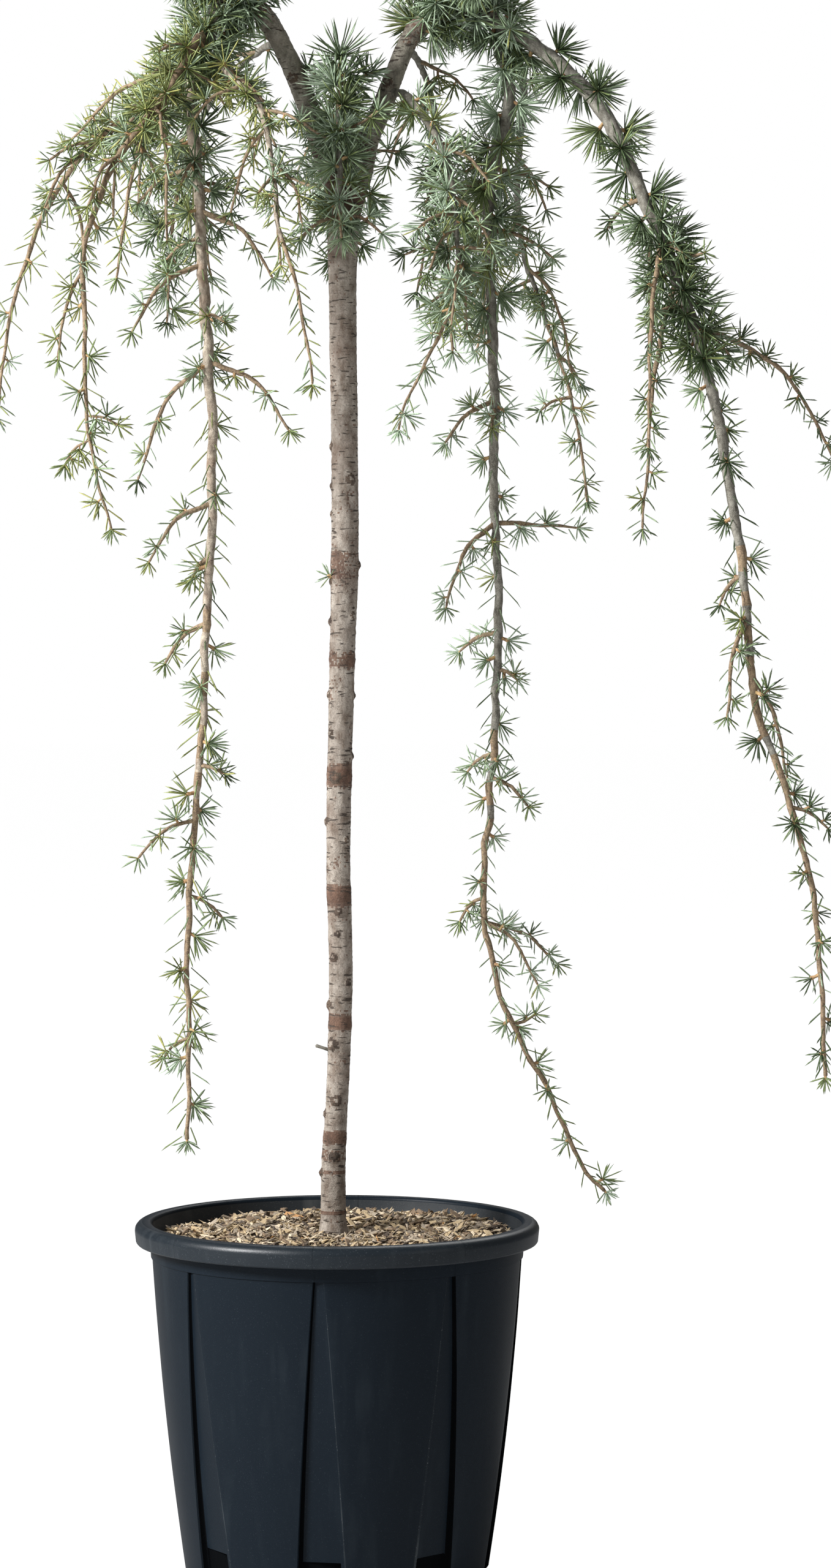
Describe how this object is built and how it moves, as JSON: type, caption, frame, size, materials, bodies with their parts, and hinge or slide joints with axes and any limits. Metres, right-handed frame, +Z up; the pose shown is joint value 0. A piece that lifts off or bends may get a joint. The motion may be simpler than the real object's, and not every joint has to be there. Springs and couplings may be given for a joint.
{
  "type": "potted weeping cedar",
  "caption": "Weeping cedar grafted on a straight stem, with arching boughs and long hanging leaders of needles, in a ribbed nursery pot filled with bark mulch.",
  "frame": {"origin": "middle of the pot's flat underside, where the pot stands on the ground", "axes": "+Z up the stem, -Y the plant's best side, +X towards the longest arching leader"},
  "size_m": [0.8565, 0.5149, 1.4945],
  "materials": {
    "pot_plastic": "blue-black matte nursery plastic with a rolled rim",
    "bark_mulch": "dry shredded bark in buff, brown and grey chips",
    "grey_bark": "smooth grey bark with fine cross lines and brown patches",
    "needles": "blue-green and olive needles in tufts on buff twigs"
  },
  "bodies": {
    "root": {"pot": "pot_plastic", "mulch_filling": "bark_mulch", "trunk": "grey_bark", "bough_left": "grey_bark", "bough_left_crest": "grey_bark", "bough_right": "grey_bark", "bough_right_crest": "grey_bark", "leader_left": "needles", "spray_left_back": "needles", "spray_left_front": "needles", "spray_left_inner": "needles", "tuft_crest_left": "needles", "leader_right": "needles", "spray_right_front": "needles", "spray_right_back": "needles", "leader_far_right": "needles", "tuft_crest_right": "needles", "tuft_fork": "needles", "spray_back": "needles", "spray_back_left": "needles", "spray_back_right": "needles"}
  },
  "joints": []
}
